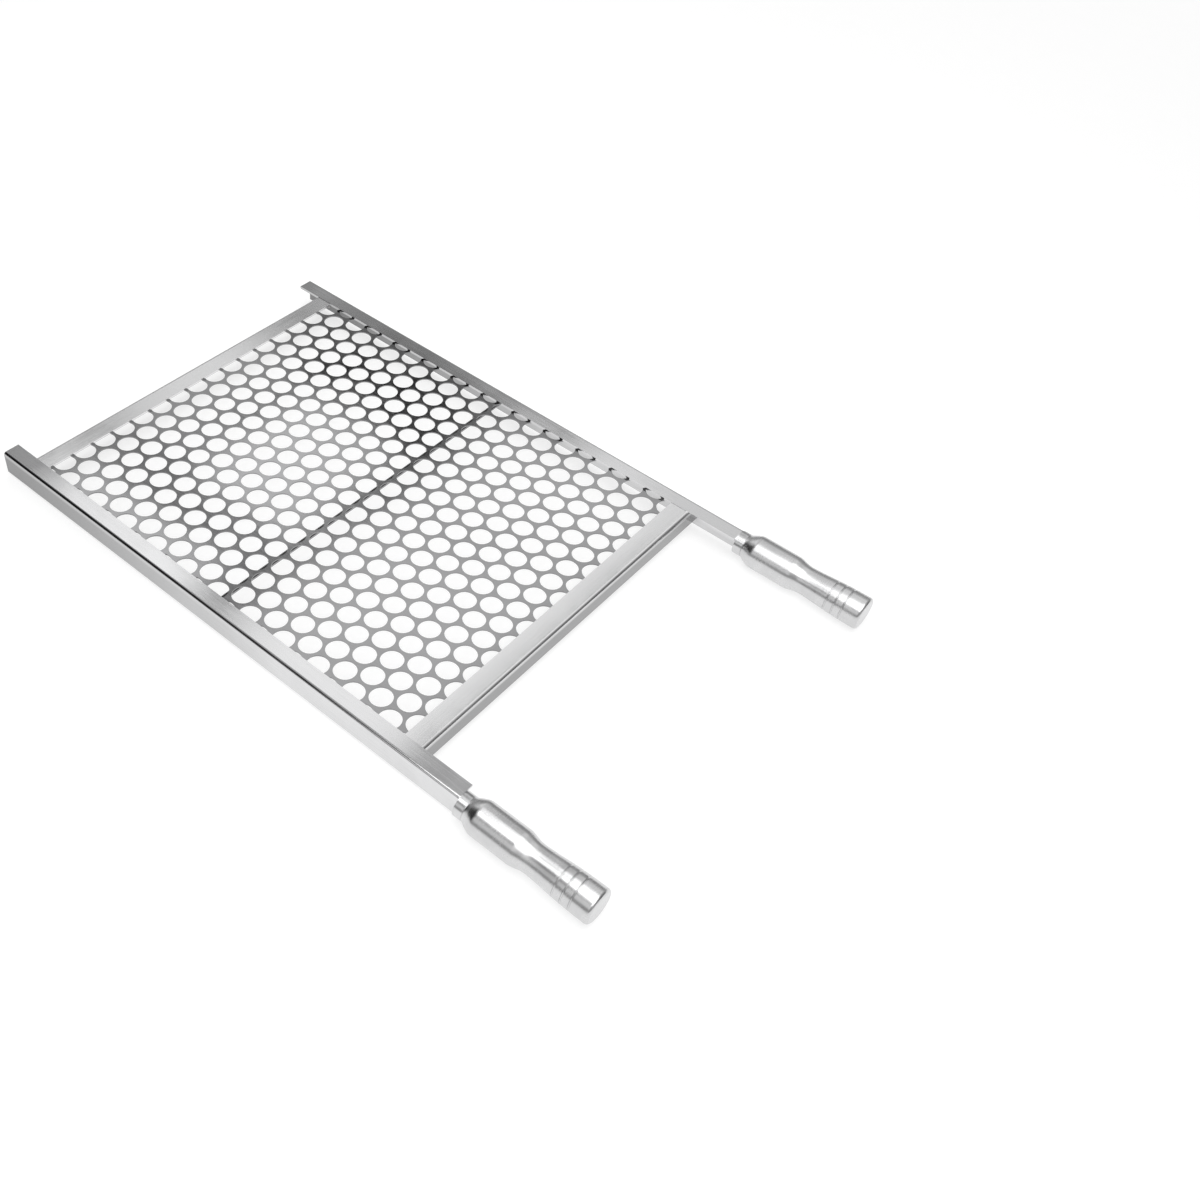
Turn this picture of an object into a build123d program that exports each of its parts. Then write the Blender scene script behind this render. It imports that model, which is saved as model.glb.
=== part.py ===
from build123d import *
import math
import os

# Barbecue grill grate: a coin-punched sheet in a welded angle frame, with two turned
# metal handles on the ends of the side rails.
# Frame: +X from the rear ends of the rails towards the handles, +Y to the right rail,
# +Z up out of the cooking surface. The origin is at the centre of the overall length
# and width, on the level of the lowest point of the handles.

# ---- driving dimensions, mm ----
TOTAL_LENGTH = 685.0        # rear rail ends to handle ends
RAIL_LENGTH = 555.0
FRAME_WIDTH = 400.0         # outer face to outer face of the rails
RAIL_HEIGHT = 23.0          # vertical leg of the rail angle
RAIL_FLANGE = 16.5          # horizontal leg of the rail angle
RAIL_WALL = 2.5
RAIL_OUT_R = 3.0            # outer bend radius of the rail angle
RAIL_IN_R = 1.0

BAR_WIDTH = 20.5            # horizontal leg of the cross-bar angle
BAR_HEIGHT = 19.0           # vertical leg of the cross-bar angle
BAR_WALL = 2.2
BAR_OUT_R = 4.0
BAR_IN_R = 1.1
BAR_STEP = 0.3              # cross-bar tops sit this far below the rail tops
REAR_BAR_X = 25.0           # outer face of the rear cross bar, from the rear rail ends
FRONT_BAR_X = 506.5         # outer face of the front cross bar, from the rear rail ends

SHEET_THICK = 1.2
SHEET_GAP_SIDE = 1.0        # sheet edge to the rails' vertical legs
SHEET_GAP_END = 1.5         # sheet edge to the cross bars' vertical legs
HOLE_PITCH = 23.0           # centre to centre, in every direction
HOLE_DIA = 20.2
HOLE_ROW_X = 187.45         # one row of holes, from the rear rail ends
HOLE_ROW_Y = 4.7            # sideways offset of the pattern from the centre line

ROD_DIA = 5.0               # support rod under the sheet
ROD_X = 275.1

HANDLE_INSET = 4.6          # handle axis inside the rail's outer face
HANDLE_DROP = 11.5          # handle axis below the rail's top
COLLAR_R = 11.2
COLLAR_LENGTH = 8.3
SEAM_CHAMFER = 0.4
GRIP_R = 15.75              # barrel radius of the grip
GROOVES = (97.4, 105.2, 113.0)   # from the rail end
GROOVE_R = 0.8              # half-round groove
END_R = 3.0
STUD_R = 4.95
STUD_LENGTH = 70.0
BORE_CLEAR = 0.05

# ---- derived levels and positions ----
X_REAR = -TOTAL_LENGTH / 2
X_RAIL_END = X_REAR + RAIL_LENGTH
Z_AXIS = GRIP_R
Z_RAIL_TOP = Z_AXIS + HANDLE_DROP
Z_RAIL_LOW = Z_RAIL_TOP - RAIL_HEIGHT
Z_BAR_TOP = Z_RAIL_TOP - BAR_STEP
Z_BAR_LOW = Z_BAR_TOP - BAR_HEIGHT
Z_SHEET_TOP = Z_BAR_TOP - BAR_WALL
Z_SHEET_LOW = Z_SHEET_TOP - SHEET_THICK
Y_OUT = FRAME_WIDTH / 2
Y_WALL = Y_OUT - RAIL_WALL              # inner face of a rail's vertical leg
Y_FLANGE = Y_OUT - RAIL_FLANGE          # free edge of a rail's horizontal leg
Y_AXIS = Y_OUT - HANDLE_INSET
X_BAR_REAR = X_REAR + REAR_BAR_X
X_BAR_FRONT = X_REAR + FRONT_BAR_X
X_WALL_REAR = X_BAR_REAR + BAR_WALL
X_WALL_FRONT = X_BAR_FRONT - BAR_WALL
ROW_STEP = HOLE_PITCH * math.sqrt(3) / 2
ROD_R = ROD_DIA / 2
X_ROD = X_REAR + ROD_X
Z_ROD = Z_SHEET_LOW - ROD_R

PARTS = {}


def angle_face(width, height, wall, out_r, in_r):
    """L section with its outer corner at (0, 0), legs along +x and -y."""
    k_out = out_r * (1 - math.sqrt(0.5))
    k_in = in_r * (1 - math.sqrt(0.5))
    outline = Wire([
        Line((out_r, 0), (width, 0)),
        Line((width, 0), (width, -wall)),
        Line((width, -wall), (wall + in_r, -wall)),
        ThreePointArc((wall + in_r, -wall), (wall + k_in, -wall - k_in), (wall, -wall - in_r)),
        Line((wall, -wall - in_r), (wall, -height)),
        Line((wall, -height), (0, -height)),
        Line((0, -height), (0, -out_r)),
        ThreePointArc((0, -out_r), (k_out, -k_out), (out_r, 0)),
    ])
    return Face(outline)


def box(x0, x1, y0, y1, z0, z1):
    """Solid box between two corners."""
    size = Box(x1 - x0, y1 - y0, z1 - z0)
    return Pos((x0 + x1) / 2, (y0 + y1) / 2, (z0 + z1) / 2) * size


def mirrored(shape):
    """The same piece on the other side of the frame."""
    return mirror(shape, about=Plane.XZ)


# ---- side rails ----
rail_plane = Plane(origin=(X_REAR, -Y_OUT, Z_RAIL_TOP), x_dir=(0, 1, 0), z_dir=(1, 0, 0))
rail_face = angle_face(RAIL_FLANGE, RAIL_HEIGHT, RAIL_WALL, RAIL_OUT_R, RAIL_IN_R)
left_rail = extrude(rail_plane * rail_face, RAIL_LENGTH, dir=(1, 0, 0))
PARTS["left_rail"] = left_rail
PARTS["right_rail"] = mirrored(left_rail)

# ---- cross bars: the horizontal leg stops at the rail flanges, the vertical leg
# runs on below them to the rails' vertical legs ----
bar_plane = Plane(origin=(X_BAR_REAR, Y_WALL, Z_BAR_TOP), x_dir=(1, 0, 0), z_dir=(0, -1, 0))
bar_face = angle_face(BAR_WIDTH, BAR_HEIGHT, BAR_WALL, BAR_OUT_R, BAR_IN_R)
rear_bar = extrude(bar_plane * bar_face, 2 * Y_WALL, dir=(0, -1, 0))
z_cope = Z_RAIL_TOP - RAIL_WALL
for side in (-1, 1):
    y0, y1 = sorted((side * Y_FLANGE, side * (Y_WALL + 1)))
    rear_bar = rear_bar - box(X_BAR_REAR - 1, X_BAR_REAR + BAR_WIDTH + 1, y0, y1,
                              z_cope, Z_BAR_TOP + 1)
    rear_bar = rear_bar - box(X_WALL_REAR, X_BAR_REAR + BAR_WIDTH + 1, y0, y1,
                              z_cope - BAR_WALL - BAR_IN_R, Z_BAR_TOP + 1)
    y0, y1 = sorted((side * (Y_WALL - RAIL_IN_R), side * (Y_WALL + 1)))
    rear_bar = rear_bar - box(X_BAR_REAR - 1, X_WALL_REAR + 1, y0, y1,
                              z_cope - RAIL_IN_R, Z_BAR_TOP + 1)
PARTS["rear_cross_bar"] = rear_bar
x_mid_bars = (X_BAR_REAR + X_BAR_FRONT) / 2
PARTS["front_cross_bar"] = mirror(rear_bar, about=Plane.YZ.offset(x_mid_bars))

# ---- punched sheet, tucked under all four flanges ----
sx0 = X_WALL_REAR + SHEET_GAP_END
sx1 = X_WALL_FRONT - SHEET_GAP_END
sy = Y_WALL - SHEET_GAP_SIDE
centres = []
for col in range(-9, 18):
    x = X_REAR + HOLE_ROW_X + col * ROW_STEP
    for k in range(-10, 11):
        y = HOLE_ROW_Y + (k + 0.5 * (col % 2)) * HOLE_PITCH
        near_x = sx0 - HOLE_DIA / 2 + 0.5 < x < sx1 + HOLE_DIA / 2 - 0.5
        near_y = abs(y) < sy + HOLE_DIA / 2 - 0.5
        if near_x and near_y:
            centres.append((x, y))
with BuildSketch(Plane.XY.offset(Z_SHEET_LOW)) as sheet_sketch:
    with Locations(((sx0 + sx1) / 2, 0)):
        Rectangle(sx1 - sx0, 2 * sy)
    with Locations(*centres):
        Circle(HOLE_DIA / 2, mode=Mode.SUBTRACT)
sheet = extrude(sheet_sketch.sketch, SHEET_THICK)
PARTS["perforated_sheet"] = sheet

# ---- support rod across the frame, under the middle of the sheet ----
rod_plane = Plane(origin=(X_ROD, Y_WALL, Z_ROD), x_dir=(1, 0, 0), z_dir=(0, -1, 0))
rod = extrude(rod_plane * Circle(ROD_R), 2 * Y_WALL)
PARTS["support_rod"] = rod

# ---- handles: welded collar, screwed-in stud and turned grip ----
handle_plane = Plane(origin=(X_RAIL_END, -Y_AXIS, Z_AXIS), x_dir=(1, 0, 0), z_dir=(0, -1, 0))
handle_axis = Axis((X_RAIL_END, -Y_AXIS, Z_AXIS), (1, 0, 0))


def turned(points):
    """Revolve a closed outline of (along, radius) points about the handle axis."""
    return revolve(handle_plane * Face(Wire(points)), handle_axis, 360)


bore_r = STUD_R + BORE_CLEAR
c_len = COLLAR_LENGTH
collar = turned([
    Line((0, bore_r), (0, COLLAR_R)),
    Line((0, COLLAR_R), (c_len - SEAM_CHAMFER, COLLAR_R)),
    Line((c_len - SEAM_CHAMFER, COLLAR_R), (c_len, COLLAR_R - SEAM_CHAMFER)),
    Line((c_len, COLLAR_R - SEAM_CHAMFER), (c_len, bore_r)),
    Line((c_len, bore_r), (0, bore_r)),
])
PARTS["left_handle_collar"] = collar
PARTS["right_handle_collar"] = mirrored(collar)

g_end = TOTAL_LENGTH - RAIL_LENGTH
end_r = GRIP_R - 0.2
k_end = END_R * (1 - math.sqrt(0.5))
bore_end = STUD_LENGTH + 2.0
shoulder = Spline(
    (c_len + SEAM_CHAMFER, COLLAR_R), (12.2, 13.0), (16.0, 14.75), (20.5, GRIP_R),
    tangents=[(1, 0.35), (1, 0)])
waist_in = Spline((56.0, GRIP_R), (60.7, 15.0), (65.2, 13.85), (71.0, 13.2),
                  tangents=[(1, 0), (1, 0)])
flare = Spline((71.0, 13.2), (80.0, 13.5), (90.0, 14.2), (100.0, 14.9), (110.0, 15.32),
               (g_end - END_R, end_r), tangents=[(1, 0), (1, 0.01)])
grip = turned([
    Line((c_len, bore_r), (c_len, COLLAR_R - SEAM_CHAMFER)),
    Line((c_len, COLLAR_R - SEAM_CHAMFER), (c_len + SEAM_CHAMFER, COLLAR_R)),
    shoulder,
    Line((20.5, GRIP_R), (56.0, GRIP_R)),
    waist_in,
    flare,
    ThreePointArc((g_end - END_R, end_r), (g_end - k_end, end_r - k_end),
                  (g_end, end_r - END_R)),
    Line((g_end, end_r - END_R), (g_end, 0)),
    Line((g_end, 0), (bore_end, 0)),
    Line((bore_end, 0), (bore_end, bore_r)),
    Line((bore_end, bore_r), (c_len, bore_r)),
])
for at in GROOVES:
    lo, hi = 0.0, 1.0
    for step in range(40):
        mid = (lo + hi) / 2
        if flare.position_at(mid).X < at:
            lo = mid
        else:
            hi = mid
    ring_plane = Plane(origin=(X_RAIL_END + at, -Y_AXIS, Z_AXIS), x_dir=(0, 1, 0),
                       z_dir=(1, 0, 0))
    grip = grip - ring_plane * Torus(flare.position_at(lo).Y, GROOVE_R)
PARTS["left_handle_grip"] = grip
PARTS["right_handle_grip"] = mirrored(grip)

stud = extrude(
    Plane(origin=(X_RAIL_END, -Y_AXIS, Z_AXIS), x_dir=(0, 1, 0), z_dir=(1, 0, 0))
    * Circle(STUD_R), STUD_LENGTH)
PARTS["left_handle_stud"] = stud
PARTS["right_handle_stud"] = mirrored(stud)

# ---- weld beads ----


def corner_bead(leg):
    """Cross-section of a slightly convex fillet bead in the corner at (0, 0)."""
    bulge = 0.62 * leg
    return Face(Wire([
        Line((0, 0), (leg, 0)),
        ThreePointArc((leg, 0), (bulge, bulge), (0, leg)),
        Line((0, leg), (0, 0)),
    ]))


def bead_run(corner, dir_a, dir_b, leg, length):
    """Fillet bead with its root line centred on corner, legs along dir_a and dir_b."""
    a = Vector(dir_a)
    b = Vector(dir_b)
    n = a.cross(b)
    start = Vector(corner) - n * (length / 2)
    section = Plane(origin=start, x_dir=a, z_dir=n) * corner_bead(leg)
    return extrude(section, length, dir=n)


CORNER_LEG = 4.0
z0 = Z_BAR_LOW + 1.0
z1 = Z_SHEET_LOW - 0.5
for end, x_wall, sx in (("rear", X_WALL_REAR, 1), ("front", X_WALL_FRONT, -1)):
    for side, sign in (("left", -1), ("right", 1)):
        corner = (x_wall, sign * Y_WALL, (z0 + z1) / 2)
        bead = bead_run(corner, (sx, 0, 0), (0, -sign, 0), CORNER_LEG, z1 - z0)
        PARTS[end + "_" + side + "_corner_weld"] = bead

TACK_LEG = 3.5
TACK_LENGTH = 10.0
for side, sign in (("left", -1), ("right", 1)):
    tacks = []
    for col in (-6, -2, 2, 6, 10, 14):
        x = X_REAR + HOLE_ROW_X + col * ROW_STEP + ROW_STEP / 2
        tacks.append(bead_run((x, sign * Y_WALL, Z_SHEET_LOW), (0, -sign, 0), (0, 0, -1),
                              TACK_LEG, TACK_LENGTH))
    PARTS[side + "_sheet_tack_welds"] = Compound(children=tacks)
for end, x_wall, sx in (("rear", X_WALL_REAR, 1), ("front", X_WALL_FRONT, -1)):
    tacks = []
    for k in (-7, -4, -1, 2, 6):
        y = HOLE_ROW_Y + (k + 0.5) * HOLE_PITCH
        tacks.append(bead_run((x_wall, y, Z_SHEET_LOW), (sx, 0, 0), (0, 0, -1),
                              TACK_LEG, TACK_LENGTH))
    PARTS[end + "_sheet_tack_welds"] = Compound(children=tacks)

RING_LEG = 2.2
below_sheet = box(X_ROD - 20, X_ROD + 20, -Y_OUT, Y_OUT, Z_SHEET_LOW, Z_SHEET_LOW + 10)
for side, sign in (("left", -1), ("right", 1)):
    ring_plane = Plane(origin=(X_ROD, sign * Y_WALL, Z_ROD), x_dir=(1, 0, 0),
                       z_dir=(0, -sign, 0))
    ring = ring_plane * Pos(0, 0, RING_LEG / 2) * Cone(ROD_R + RING_LEG, ROD_R + 0.4, RING_LEG)
    ring = ring - rod - box(X_ROD - 20, X_ROD + 20, -Y_OUT, Y_OUT,
                            Z_SHEET_LOW - 1.0, Z_SHEET_LOW + 10)
    PARTS[side + "_rod_end_weld"] = ring

ROD_TACK_R = 1.6
ROD_TACK_LENGTH = 6.0
tacks = []
for k in (-6, -3, 0, 3, 6):
    y = HOLE_ROW_Y + (k + 0.5) * HOLE_PITCH
    centre_x = X_ROD - 1.9
    run = Plane(origin=(centre_x, y + ROD_TACK_LENGTH / 2, Z_SHEET_LOW - 0.9),
                x_dir=(1, 0, 0), z_dir=(0, -1, 0)) * Circle(ROD_TACK_R)
    tack = extrude(run, ROD_TACK_LENGTH) - rod - below_sheet
    tacks.extend(tack.solids())
PARTS["rod_tack_welds"] = Compound(children=tacks)

COLLAR_WELD_LEG = 3.2
z0 = Z_AXIS - 8.0
z1 = Z_RAIL_TOP - RAIL_WALL - RAIL_IN_R - 0.3
collar_bead = bead_run((X_RAIL_END, -Y_WALL, (z0 + z1) / 2), (-1, 0, 0), (0, 1, 0),
                       COLLAR_WELD_LEG, z1 - z0)
PARTS["left_collar_weld"] = collar_bead
PARTS["right_collar_weld"] = mirrored(collar_bead)

os.makedirs("parts", exist_ok=True)
for name, shape in PARTS.items():
    export_step(shape, "parts/" + name + ".step")
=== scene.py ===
import bpy
import math
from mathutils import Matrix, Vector

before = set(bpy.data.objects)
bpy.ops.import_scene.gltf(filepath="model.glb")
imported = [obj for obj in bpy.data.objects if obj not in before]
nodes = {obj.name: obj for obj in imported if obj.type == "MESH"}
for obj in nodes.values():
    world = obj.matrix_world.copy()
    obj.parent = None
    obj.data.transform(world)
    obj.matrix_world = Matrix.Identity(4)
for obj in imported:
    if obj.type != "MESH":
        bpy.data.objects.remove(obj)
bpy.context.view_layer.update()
scene = bpy.context.scene

ROD_X = -0.0674         # where the support rod's centre line crosses the frame
REAR_END = -0.342       # rear ends of the rails
REAR_SHADE_END = 0.02         # the painted shade on the rails' rear ends has faded out by here
LEG_FROM = 0.0215       # below this height a face belongs to a vertical leg
LEG_TO = 0.0255         # above this height it belongs to a flange
BOX_HEIGHT = 0.65       # height of the overhead softboxes


# ---------------------------------------------------------------- node helpers
class Mat:
    """A small builder for one node material."""

    def __init__(self, name):
        self.m = bpy.data.materials.new(name)
        self.m.use_nodes = True
        self.t = self.m.node_tree
        self.t.nodes.clear()
        self.out = self.t.nodes.new("ShaderNodeOutputMaterial")
        self.p = self.t.nodes.new("ShaderNodeBsdfPrincipled")
        self.t.links.new(self.p.outputs[0], self.out.inputs[0])
        self.co = self.t.nodes.new("ShaderNodeTexCoord").outputs["Object"]

    def link(self, a, b):
        self.t.links.new(a, b)

    def scaled(self, sx, sy, sz):
        n = self.t.nodes.new("ShaderNodeMapping")
        n.inputs["Scale"].default_value = (sx, sy, sz)
        self.link(self.co, n.inputs["Vector"])
        return n.outputs[0]

    def noise(self, vec, scale, detail=3.0, rough=0.55):
        n = self.t.nodes.new("ShaderNodeTexNoise")
        n.inputs["Scale"].default_value = scale
        n.inputs["Detail"].default_value = detail
        n.inputs["Roughness"].default_value = rough
        self.link(vec, n.inputs["Vector"])
        return n.outputs[0]

    def remap(self, value, a, b, c, d):
        n = self.t.nodes.new("ShaderNodeMapRange")
        for i, v in zip((1, 2, 3, 4), (a, b, c, d)):
            n.inputs[i].default_value = v
        self.link(value, n.inputs[0])
        return n.outputs[0]

    def math(self, op, a, b):
        n = self.t.nodes.new("ShaderNodeMath")
        n.operation = op
        for i, v in enumerate((a, b)):
            if isinstance(v, (int, float)):
                n.inputs[i].default_value = v
            else:
                self.link(v, n.inputs[i])
        return n.outputs[0]

    def mix(self, fac, a, b):
        n = self.t.nodes.new("ShaderNodeMix")
        n.data_type = "RGBA"
        for sock, v in ((n.inputs[0], fac), (n.inputs[6], a), (n.inputs[7], b)):
            if isinstance(v, tuple):
                sock.default_value = v + (1.0,)
            elif isinstance(v, (int, float)):
                sock.default_value = v
            else:
                self.link(v, sock)
        return n.outputs[2]

    def axis(self, index):
        n = self.t.nodes.new("ShaderNodeSeparateXYZ")
        self.link(self.co, n.inputs[0])
        return n.outputs[index]

    def bump(self, height, strength, distance, normal=None):
        n = self.t.nodes.new("ShaderNodeBump")
        n.inputs["Strength"].default_value = strength
        n.inputs["Distance"].default_value = distance
        self.link(height, n.inputs["Height"])
        if normal is not None:
            self.link(normal, n.inputs["Normal"])
        return n.outputs[0]


def shade(colour, factor):
    return tuple(c * factor for c in colour)


def steel(name, light, dark, rough_lo, rough_hi, grain, grain_bump, rear=1.0, side=1.0,
          ridge=None):
    """Satin steel: drawn grain along one direction over soft mill mottling.

    rear sets the painted shade that darkens the frame toward its rear, side sets the painted
    shade that darkens the vertical legs, and ridge is the x of the line where the rod meets the
    sheet, where a painted shadow line and painted shade on the rod's front flank are drawn.
    """
    k = Mat(name)
    fine = k.noise(k.scaled(*grain), 900.0, 2.0, 0.6)
    soft = k.noise(k.co, 22.0, 4.0, 0.6)
    blot = k.noise(k.co, 6.0, 2.0, 0.5)
    mottling = k.math("ADD", k.math("MULTIPLY", soft, 0.5), k.math("MULTIPLY", blot, 0.5))
    stain = k.remap(mottling, 0.35, 0.66, 0.0, 1.0)
    streak = k.remap(fine, 0.3, 0.7, 0.0, 1.0)
    base = k.mix(stain, dark, light)
    bright = tuple(min(1, c) for c in shade(light, 1.25))
    wear_and_shade = k.mix(k.math("MULTIPLY", streak, 0.22), base, bright)
    if rear < 1.0:
        # painted shade: the rails darken towards their rear ends, and their vertical legs there
        # darker still
        rear_shade = k.remap(k.axis(0), REAR_END, REAR_SHADE_END, 1.0, 0.0)
        wear_and_shade = k.mix(rear_shade, wear_and_shade, shade(dark, rear))
        leg_shade = k.math("MULTIPLY", rear_shade, k.remap(k.axis(2), LEG_FROM, LEG_TO, 1.0, 0.0))
        wear_and_shade = k.mix(leg_shade, wear_and_shade, shade(dark, 0.38))
    if side < 1.0:
        # painted shade: the vertical legs are darker than the tops
        leg_shade = k.remap(k.axis(2), LEG_FROM, LEG_TO, 1.0, 0.0)
        wear_and_shade = k.mix(leg_shade, wear_and_shade, shade(dark, side))
    if ridge is not None:
        # painted shadow: a near-black line where the rod meets the sheet, and painted shade on
        # its front flank
        rod_edge_shade = k.remap(k.axis(0), ridge - 0.0012, ridge - 0.0002, 0.0, 1.0)
        wear_and_shade = k.mix(rod_edge_shade, wear_and_shade, shade(dark, 0.05))
        rod_flank_shade = k.remap(k.axis(0), ridge + 0.0012, ridge + 0.0018, 0.0, 1.0)
        wear_and_shade = k.mix(rod_flank_shade, wear_and_shade, shade(dark, 0.5))
    k.link(wear_and_shade, k.p.inputs["Base Color"])
    k.p.inputs["Metallic"].default_value = 1.0
    rough = k.math("ADD", k.remap(soft, 0.3, 0.7, rough_lo, rough_hi),
                   k.remap(fine, 0.3, 0.7, -0.03, 0.03))
    k.link(rough, k.p.inputs["Roughness"])
    n1 = k.bump(fine, grain_bump, 0.00015)
    n2 = k.bump(blot, 0.10, 0.0008, n1)
    k.link(n2, k.p.inputs["Normal"])
    return k.m


rail_steel = steel("rail_steel", (0.70, 0.70, 0.705), (0.60, 0.60, 0.605), 0.12, 0.19,
                   (0.03, 1.0, 1.0), 0.05, rear=0.85)
bar_steel = steel("bar_steel", (0.80, 0.80, 0.805), (0.70, 0.70, 0.705), 0.15, 0.23,
                  (1.0, 0.03, 1.0), 0.05, side=0.40)
sheet_steel = steel("sheet_steel", (0.33, 0.33, 0.334), (0.26, 0.26, 0.264), 0.10, 0.17,
                    (0.05, 1.0, 1.0), 0.04)
rod_steel = steel("rod_steel", (0.80, 0.80, 0.805), (0.70, 0.70, 0.705), 0.10, 0.18,
                  (1.0, 0.03, 1.0), 0.05, ridge=ROD_X)
stud_steel = steel("stud_steel", (0.5, 0.5, 0.51), (0.4, 0.4, 0.41), 0.3, 0.4,
                   (1.0, 1.0, 1.0), 0.1)


def turned_metal(name, light, dark, rough_lo, rough_hi):
    """Lathe-polished metal: fine rings round the X axis and a hazy finish."""
    k = Mat(name)
    rings = k.noise(k.scaled(1.0, 0.02, 0.02), 1400.0, 2.0, 0.5)
    haze = k.noise(k.co, 60.0, 4.0, 0.6)
    base = k.mix(k.remap(haze, 0.3, 0.7, 0.0, 1.0), dark, light)
    k.link(base, k.p.inputs["Base Color"])
    k.p.inputs["Metallic"].default_value = 1.0
    k.link(k.math("ADD", k.remap(haze, 0.3, 0.7, rough_lo, rough_hi),
                  k.remap(rings, 0.3, 0.7, -0.02, 0.02)), k.p.inputs["Roughness"])
    k.link(k.bump(rings, 0.05, 0.0001), k.p.inputs["Normal"])
    return k.m


grip_metal = turned_metal("grip_metal", (0.66, 0.66, 0.665), (0.58, 0.58, 0.585), 0.22, 0.30)
collar_metal = turned_metal("collar_metal", (0.66, 0.66, 0.665), (0.56, 0.56, 0.565), 0.18, 0.26)

weld = Mat("weld_metal")
lumps = weld.noise(weld.co, 420.0, 2.0, 0.5)
heat = weld.noise(weld.co, 120.0, 2.0, 0.5)
weld.link(weld.mix(weld.remap(heat, 0.35, 0.65, 0.0, 1.0), (0.30, 0.29, 0.28),
                   (0.52, 0.51, 0.5)), weld.p.inputs["Base Color"])
weld.p.inputs["Metallic"].default_value = 1.0
weld.link(weld.remap(lumps, 0.3, 0.7, 0.32, 0.5), weld.p.inputs["Roughness"])
weld.link(weld.bump(lumps, 0.6, 0.0006), weld.p.inputs["Normal"])
weld_metal = weld.m

for name, obj in nodes.items():
    if name.endswith("_rail"):
        mat = rail_steel
    elif name.endswith("cross_bar"):
        mat = bar_steel
    elif name == "perforated_sheet":
        mat = sheet_steel
    elif name == "support_rod":
        mat = rod_steel
    elif "stud" in name:
        mat = stud_steel
    elif "collar" in name and "weld" not in name:
        mat = collar_metal
    elif "grip" in name:
        mat = grip_metal
    else:
        mat = weld_metal
    obj.data.materials.clear()
    obj.data.materials.append(mat)

# ---------------------------------------------------------------- floor
bpy.ops.mesh.primitive_plane_add(size=14.0, location=(0, 0, 0))
floor = bpy.context.object
floor.name = "floor"
fm = Mat("floor_white")
grain = fm.noise(fm.co, 40.0, 3.0, 0.5)
fm.link(fm.mix(grain, (0.38, 0.38, 0.38), (0.40, 0.40, 0.40)), fm.p.inputs["Base Color"])
fm.p.inputs["Emission Color"].default_value = (1.0, 1.0, 1.0, 1.0)
fm.p.inputs["Emission Strength"].default_value = 0.68
fm.p.inputs["Roughness"].default_value = 0.9
fm.p.inputs["Specular IOR Level"].default_value = 0.1
floor.data.materials.append(fm.m)


# ---------------------------------------------------------------- light
def area(name, loc, target, sx, sy, power):
    data = bpy.data.lights.new(name, "AREA")
    data.shape = "RECTANGLE"
    data.size = sx
    data.size_y = sy
    data.energy = power
    o = bpy.data.objects.new(name, data)
    o.location = loc
    aim = Vector(target) - Vector(loc)
    o.rotation_euler = aim.to_track_quat("-Z", "Y").to_euler()
    o.visible_camera = False
    scene.collection.objects.link(o)


# overhead softboxes facing straight down: name, x, y, size along x, size along y, power
for name, x, y, sx, sy, power in (
        ("box_rear", -0.73, 0.12, 0.34, 0.22, 0.24),
        ("box_left", -0.66, 0.47, 0.22, 0.28, 0.22),
        ("box_back", -0.95, 0.50, 0.24, 0.30, 0.10),
        ("box_mid", -0.3075, 0.42, 0.345, 0.76, 0.58),
        ("box_far_rear", -0.78, 0.85, 0.44, 0.08, 0.035),
        ("box_far", -0.14, 0.88, 0.40, 0.24, 0.13),
        ("box_grip_a", 0.22, -0.37, 0.60, 0.28, 0.80),
        ("box_grip_b", 0.27, -0.05, 0.50, 0.24, 0.60),
        ("box_grip_c", 0.23, 0.56, 0.40, 0.84, 0.50)):
    area(name, (x, y, BOX_HEIGHT), (x, y, 0.0), sx, sy, power)
area("panel_front", (0.10, -1.10, 0.62), (0.20, -0.10, 0.0), 0.90, 0.50, 0.70)

sun = bpy.data.lights.new("soft_key", "SUN")
sun.energy = 1.2
sun.angle = math.radians(60)
sun_obj = bpy.data.objects.new("soft_key", sun)
sun_obj.rotation_euler = (math.radians(20), 0.0, math.radians(40))
scene.collection.objects.link(sun_obj)

# studio surroundings: grey overhead, darker towards the horizon, and three dark corners
world = bpy.data.worlds.new("studio")
scene.world = world
world.use_nodes = True
wt = world.node_tree
wt.nodes.clear()
direction = wt.nodes.new("ShaderNodeTexCoord").outputs["Generated"]


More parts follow.
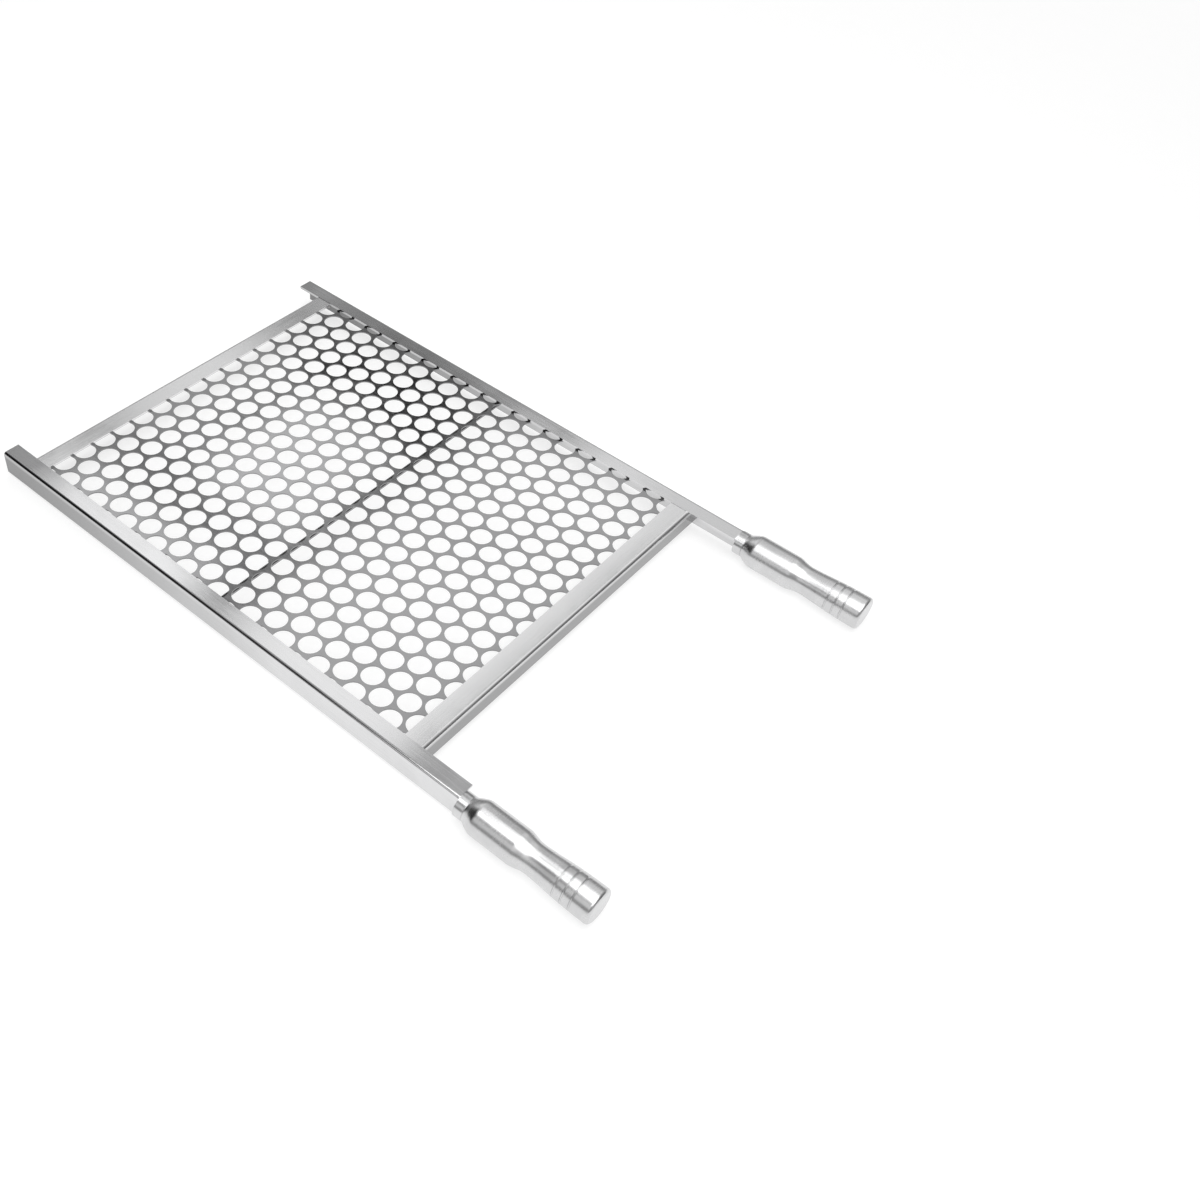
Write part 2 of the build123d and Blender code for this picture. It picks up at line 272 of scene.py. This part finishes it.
def w_remap(value, a, b, c, d):
    n = wt.nodes.new("ShaderNodeMapRange")
    n.interpolation_type = "SMOOTHSTEP"
    for k, v in zip((1, 2, 3, 4), (a, b, c, d)):
        n.inputs[k].default_value = v
    wt.links.new(value, n.inputs[0])
    return n.outputs[0]


def w_times(a, b):
    n = wt.nodes.new("ShaderNodeMath")
    n.operation = "MULTIPLY"
    wt.links.new(a, n.inputs[0])
    wt.links.new(b, n.inputs[1])
    return n.outputs[0]


def dark_corner(azimuth, elevation, inner, outer, level):
    """A round patch at this level, in degrees, fading to full strength between the radii."""
    a, e = math.radians(azimuth), math.radians(elevation)
    n = wt.nodes.new("ShaderNodeVectorMath")
    n.operation = "DOT_PRODUCT"
    flat = math.cos(e)
    n.inputs[1].default_value = (math.cos(a) * flat, math.sin(a) * flat, math.sin(e))
    wt.links.new(direction, n.inputs[0])
    edge, core = math.cos(math.radians(outer)), math.cos(math.radians(inner))
    return w_remap(n.outputs["Value"], edge, core, 1.0, level)


up = wt.nodes.new("ShaderNodeSeparateXYZ")
wt.links.new(direction, up.inputs[0])
level = w_remap(up.outputs[2], 0.0, 0.65, 0.30, 0.46)
level = w_times(level, dark_corner(131.0, 38.0, 2.5, 5.5, 0.06))
level = w_times(level, dark_corner(-150.0, 30.0, 21.0, 37.0, 0.02))
level = w_times(level, dark_corner(30.0, 10.0, 15.0, 40.0, 0.40))
wb = wt.nodes.new("ShaderNodeBackground")
wb.inputs["Color"].default_value = (1.0, 1.0, 1.0, 1.0)
wt.links.new(level, wb.inputs["Strength"])
wo = wt.nodes.new("ShaderNodeOutputWorld")
wt.links.new(wb.outputs[0], wo.inputs[0])

scene.view_settings.view_transform = "Standard"
scene.view_settings.look = "None"

# ---------------------------------------------------------------- camera
cam_data = bpy.data.cameras.new("camera")
cam_data.lens = 39.076
cam_data.sensor_width = 36.0
cam_data.shift_x = 0.13333
cam_data.clip_start = 0.01
cam_data.clip_end = 50.0
cam = bpy.data.objects.new("camera", cam_data)
cam.location = (0.53152, -0.65115, 0.84046)
cam.rotation_euler = tuple(math.radians(a) for a in (42.6447, -3.0521, 41.2028))
scene.collection.objects.link(cam)
scene.camera = cam
